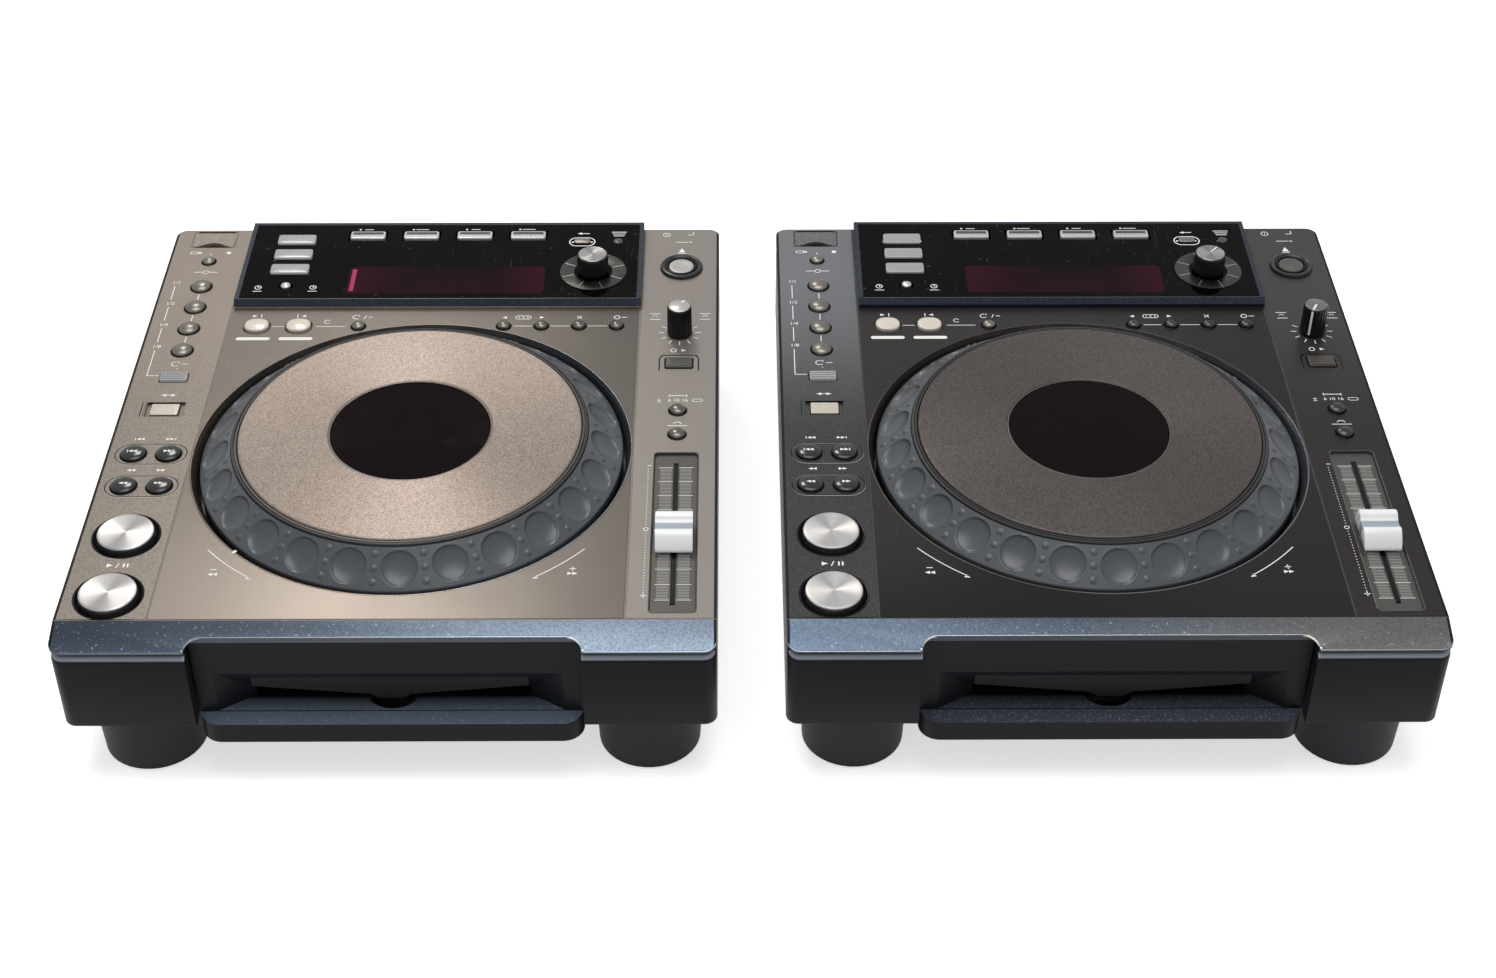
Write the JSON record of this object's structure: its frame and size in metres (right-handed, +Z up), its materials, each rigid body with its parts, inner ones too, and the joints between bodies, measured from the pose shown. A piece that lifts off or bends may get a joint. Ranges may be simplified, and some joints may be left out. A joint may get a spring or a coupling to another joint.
{
  "type": "pair of slot-loading dj disc players",
  "caption": "Pair of table-top slot-loading disc players with jog wheels, tempo faders, raised displays, keys and round feet.",
  "frame": {"origin": "middle of the table face under the pair", "axes": "+Z up, -Y towards the user (the slots face -Y), +X to the right"},
  "size_m": [0.642, 0.346, 0.105],
  "materials": {
    "deck_warm": "warm grey metallic paint, satin",
    "deck_charcoal": "charcoal metallic paint, satin",
    "case_black": "satin black moulded case",
    "bezel_black": "satin black moulding, slate shelf",
    "housing_slate": "slate metallic paint",
    "display_glass": "black gloss window",
    "hub_plastic": "black moulded",
    "steel_sheet": "zinc plated sheet",
    "motor_steel": "plated steel",
    "board_green": "solder-masked board",
    "fader_plate_grey": "grey satin plate with a scale",
    "jack_metal": "nickel plated",
    "foot_rubber": "matte black",
    "screw_steel": "blackened steel",
    "ring_slate": "dark slate, rubbery satin",
    "plate_champagne": "champagne satin, fine scratches",
    "plate_dark": "dark satin, fine scratches",
    "fader_silver": "silver white",
    "knob_black": "ribbed black",
    "spun_aluminium": "turned face",
    "key_dark": "dark gloss",
    "key_pewter": "dark chrome",
    "key_cream": "cream lens",
    "key_grey": "grey translucent",
    "key_ivory": "ivory lens",
    "turntable_black": "black moulded",
    "sled_metal": "die cast",
    "roller_rubber": "grey rubber on a steel shaft"
  },
  "bodies": {
    "housing": {"left_lower_case": "case_black", "right_lower_case": "case_black", "slot_bezels": "bezel_black", "display_housings": "housing_slate", "windows": "display_glass", "memory_sockets": "jack_metal", "jog_hubs": "hub_plastic", "drive_frames": "steel_sheet", "drive_motors": "motor_steel", "circuit_boards": "board_green", "fader_units": "fader_plate_grey", "rear_jacks": "jack_metal", "feet": "foot_rubber", "screws": "screw_steel", "left_deck_panel": "deck_warm", "right_deck_panel": "deck_charcoal"},
    "left_jog_wheel": {"left_jog_ring": "ring_slate", "left_jog_plate": "plate_champagne"},
    "left_tempo_fader": {"left_tempo_fader": "fader_silver"},
    "left_browse_knob": {"left_browse_knob": "knob_black"},
    "left_vinyl_speed_knob": {"left_vinyl_speed_knob": "knob_black"},
    "left_play_button": {"left_play_button": "spun_aluminium"},
    "left_cue_button": {"left_cue_button": "spun_aluminium"},
    "left_track_search_keys": {"left_track_search_keys": "key_dark"},
    "left_search_keys": {"left_search_keys": "key_dark"},
    "left_auto_loop_keys": {"left_auto_loop_keys": "key_pewter"},
    "left_direction_key": {"left_direction_key": "key_cream"},
    "left_usb_lid": {"left_usb_lid": "deck_warm"},
    "left_source_keys": {"left_source_keys": "key_grey"},
    "left_menu_keys": {"left_menu_keys": "key_grey"},
    "left_loop_keys": {"left_loop_keys": "key_ivory"},
    "left_call_keys": {"left_call_keys": "key_pewter"},
    "left_tempo_keys": {"left_tempo_keys": "key_pewter"},
    "left_jog_mode_key": {"left_jog_mode_key": "key_grey"},
    "left_eject_key": {"left_eject_key": "key_pewter"},
    "left_turntable": {"left_turntable": "turntable_black"},
    "left_pickup_sled": {"left_pickup_sled": "sled_metal"},
    "left_loading_roller": {"left_loading_roller": "roller_rubber"},
    "right_jog_wheel": {"right_jog_ring": "ring_slate", "right_jog_plate": "plate_dark"},
    "right_tempo_fader": {"right_tempo_fader": "fader_silver"},
    "right_browse_knob": {"right_browse_knob": "knob_black"},
    "right_vinyl_speed_knob": {"right_vinyl_speed_knob": "knob_black"},
    "right_play_button": {"right_play_button": "spun_aluminium"},
    "right_cue_button": {"right_cue_button": "spun_aluminium"},
    "right_track_search_keys": {"right_track_search_keys": "key_dark"},
    "right_search_keys": {"right_search_keys": "key_dark"},
    "right_auto_loop_keys": {"right_auto_loop_keys": "key_pewter"},
    "right_direction_key": {"right_direction_key": "key_cream"},
    "right_usb_lid": {"right_usb_lid": "deck_charcoal"},
    "right_source_keys": {"right_source_keys": "key_grey"},
    "right_menu_keys": {"right_menu_keys": "key_grey"},
    "right_loop_keys": {"right_loop_keys": "key_ivory"},
    "right_call_keys": {"right_call_keys": "key_pewter"},
    "right_tempo_keys": {"right_tempo_keys": "key_pewter"},
    "right_jog_mode_key": {"right_jog_mode_key": "key_grey"},
    "right_eject_key": {"right_eject_key": "key_pewter"},
    "right_turntable": {"right_turntable": "turntable_black"},
    "right_pickup_sled": {"right_pickup_sled": "sled_metal"},
    "right_loading_roller": {"right_loading_roller": "roller_rubber"}
  },
  "joints": [
    {"name": "left_jog_turn", "type": "hinge", "parent": "housing", "child": "left_jog_wheel", "pos_m": [-0.1685, -0.0296, 0.09], "axis": [0, 0, 1], "continuous": true},
    {"name": "left_tempo_slide", "type": "slide", "parent": "housing", "child": "left_tempo_fader", "axis": [0, 1, 0], "range_m": [-0.0445, 0.0555]},
    {"name": "left_browse_turn", "type": "hinge", "parent": "housing", "child": "left_browse_knob", "pos_m": [-0.0848, 0.123, 0.095], "axis": [0, 0, 1], "continuous": true},
    {"name": "left_vinyl_speed_turn", "type": "hinge", "parent": "housing", "child": "left_vinyl_speed_knob", "pos_m": [-0.0367, 0.0716, 0.095], "axis": [0, 0, 1], "range_deg": [-150, 150]},
    {"name": "left_play_button_press", "type": "slide", "parent": "housing", "child": "left_play_button", "axis": [0, 0, -1], "range_m": [0, 0.0008], "stiffness_N_per_m": 400, "springref_m": -0.0008},
    {"name": "left_cue_button_press", "type": "slide", "parent": "housing", "child": "left_cue_button", "axis": [0, 0, -1], "range_m": [0, 0.0008], "stiffness_N_per_m": 400, "springref_m": -0.0008},
    {"name": "left_track_search_keys_press", "type": "slide", "parent": "housing", "child": "left_track_search_keys", "axis": [0, 0, -1], "range_m": [0, 0.0008], "stiffness_N_per_m": 400, "springref_m": -0.0008},
    {"name": "left_search_keys_press", "type": "slide", "parent": "housing", "child": "left_search_keys", "axis": [0, 0, -1], "range_m": [0, 0.0008], "stiffness_N_per_m": 400, "springref_m": -0.0008},
    {"name": "left_auto_loop_keys_press", "type": "slide", "parent": "housing", "child": "left_auto_loop_keys", "axis": [0, 0, -1], "range_m": [0, 0.0008], "stiffness_N_per_m": 400, "springref_m": -0.0008},
    {"name": "left_direction_key_press", "type": "slide", "parent": "housing", "child": "left_direction_key", "axis": [0, 0, -1], "range_m": [0, 0.0008], "stiffness_N_per_m": 400, "springref_m": -0.0008},
    {"name": "left_source_keys_press", "type": "slide", "parent": "housing", "child": "left_source_keys", "axis": [0, 0, -1], "range_m": [0, 0.0008], "stiffness_N_per_m": 400, "springref_m": -0.0008},
    {"name": "left_menu_keys_press", "type": "slide", "parent": "housing", "child": "left_menu_keys", "axis": [0, 0, -1], "range_m": [0, 0.0008], "stiffness_N_per_m": 400, "springref_m": -0.0008},
    {"name": "left_loop_keys_press", "type": "slide", "parent": "housing", "child": "left_loop_keys", "axis": [0, 0, -1], "range_m": [0, 0.0008], "stiffness_N_per_m": 400, "springref_m": -0.0008},
    {"name": "left_call_keys_press", "type": "slide", "parent": "housing", "child": "left_call_keys", "axis": [0, 0, -1], "range_m": [0, 0.0008], "stiffness_N_per_m": 400, "springref_m": -0.0008},
    {"name": "left_tempo_keys_press", "type": "slide", "parent": "housing", "child": "left_tempo_keys", "axis": [0, 0, -1], "range_m": [0, 0.0008], "stiffness_N_per_m": 400, "springref_m": -0.0008},
    {"name": "left_jog_mode_key_press", "type": "slide", "parent": "housing", "child": "left_jog_mode_key", "axis": [0, 0, -1], "range_m": [0, 0.0008], "stiffness_N_per_m": 400, "springref_m": -0.0008},
    {"name": "left_eject_key_press", "type": "slide", "parent": "housing", "child": "left_eject_key", "axis": [0, 0, -1], "range_m": [0, 0.0008], "stiffness_N_per_m": 400, "springref_m": -0.0008},
    {"name": "left_usb_lid_swing", "type": "hinge", "parent": "housing", "child": "left_usb_lid", "pos_m": [-0.2988, 0.1696, 0.0862], "axis": [-1, 0, 0], "range_deg": [0, 95]},
    {"name": "left_turntable_spin", "type": "hinge", "parent": "housing", "child": "left_turntable", "pos_m": [-0.1685, -0.081, 0.037], "axis": [0, 0, 1], "continuous": true},
    {"name": "left_sled_slide", "type": "slide", "parent": "housing", "child": "left_pickup_sled", "axis": [0, 1, 0], "range_m": [0, 0.033]},
    {"name": "left_roller_spin", "type": "hinge", "parent": "housing", "child": "left_loading_roller", "pos_m": [-0.1685, -0.142, 0.0356], "axis": [1, 0, 0], "continuous": true},
    {"name": "right_jog_turn", "type": "hinge", "parent": "housing", "child": "right_jog_wheel", "pos_m": [0.1685, -0.0296, 0.09], "axis": [0, 0, 1], "continuous": true},
    {"name": "right_tempo_slide", "type": "slide", "parent": "housing", "child": "right_tempo_fader", "axis": [0, 1, 0], "range_m": [-0.0445, 0.0555]},
    {"name": "right_browse_turn", "type": "hinge", "parent": "housing", "child": "right_browse_knob", "pos_m": [0.2522, 0.123, 0.095], "axis": [0, 0, 1], "continuous": true},
    {"name": "right_vinyl_speed_turn", "type": "hinge", "parent": "housing", "child": "right_vinyl_speed_knob", "pos_m": [0.3003, 0.0716, 0.095], "axis": [0, 0, 1], "range_deg": [-150, 150]},
    {"name": "right_play_button_press", "type": "slide", "parent": "housing", "child": "right_play_button", "axis": [0, 0, -1], "range_m": [0, 0.0008], "stiffness_N_per_m": 400, "springref_m": -0.0008},
    {"name": "right_cue_button_press", "type": "slide", "parent": "housing", "child": "right_cue_button", "axis": [0, 0, -1], "range_m": [0, 0.0008], "stiffness_N_per_m": 400, "springref_m": -0.0008},
    {"name": "right_track_search_keys_press", "type": "slide", "parent": "housing", "child": "right_track_search_keys", "axis": [0, 0, -1], "range_m": [0, 0.0008], "stiffness_N_per_m": 400, "springref_m": -0.0008},
    {"name": "right_search_keys_press", "type": "slide", "parent": "housing", "child": "right_search_keys", "axis": [0, 0, -1], "range_m": [0, 0.0008], "stiffness_N_per_m": 400, "springref_m": -0.0008},
    {"name": "right_auto_loop_keys_press", "type": "slide", "parent": "housing", "child": "right_auto_loop_keys", "axis": [0, 0, -1], "range_m": [0, 0.0008], "stiffness_N_per_m": 400, "springref_m": -0.0008},
    {"name": "right_direction_key_press", "type": "slide", "parent": "housing", "child": "right_direction_key", "axis": [0, 0, -1], "range_m": [0, 0.0008], "stiffness_N_per_m": 400, "springref_m": -0.0008},
    {"name": "right_source_keys_press", "type": "slide", "parent": "housing", "child": "right_source_keys", "axis": [0, 0, -1], "range_m": [0, 0.0008], "stiffness_N_per_m": 400, "springref_m": -0.0008},
    {"name": "right_menu_keys_press", "type": "slide", "parent": "housing", "child": "right_menu_keys", "axis": [0, 0, -1], "range_m": [0, 0.0008], "stiffness_N_per_m": 400, "springref_m": -0.0008},
    {"name": "right_loop_keys_press", "type": "slide", "parent": "housing", "child": "right_loop_keys", "axis": [0, 0, -1], "range_m": [0, 0.0008], "stiffness_N_per_m": 400, "springref_m": -0.0008},
    {"name": "right_call_keys_press", "type": "slide", "parent": "housing", "child": "right_call_keys", "axis": [0, 0, -1], "range_m": [0, 0.0008], "stiffness_N_per_m": 400, "springref_m": -0.0008},
    {"name": "right_tempo_keys_press", "type": "slide", "parent": "housing", "child": "right_tempo_keys", "axis": [0, 0, -1], "range_m": [0, 0.0008], "stiffness_N_per_m": 400, "springref_m": -0.0008},
    {"name": "right_jog_mode_key_press", "type": "slide", "parent": "housing", "child": "right_jog_mode_key", "axis": [0, 0, -1], "range_m": [0, 0.0008], "stiffness_N_per_m": 400, "springref_m": -0.0008},
    {"name": "right_eject_key_press", "type": "slide", "parent": "housing", "child": "right_eject_key", "axis": [0, 0, -1], "range_m": [0, 0.0008], "stiffness_N_per_m": 400, "springref_m": -0.0008},
    {"name": "right_usb_lid_swing", "type": "hinge", "parent": "housing", "child": "right_usb_lid", "pos_m": [0.0382, 0.1696, 0.0862], "axis": [-1, 0, 0], "range_deg": [0, 95]},
    {"name": "right_turntable_spin", "type": "hinge", "parent": "housing", "child": "right_turntable", "pos_m": [0.1685, -0.081, 0.037], "axis": [0, 0, 1], "continuous": true},
    {"name": "right_sled_slide", "type": "slide", "parent": "housing", "child": "right_pickup_sled", "axis": [0, 1, 0], "range_m": [0, 0.033]},
    {"name": "right_roller_spin", "type": "hinge", "parent": "housing", "child": "right_loading_roller", "pos_m": [0.1685, -0.142, 0.0356], "axis": [1, 0, 0], "continuous": true}
  ]
}
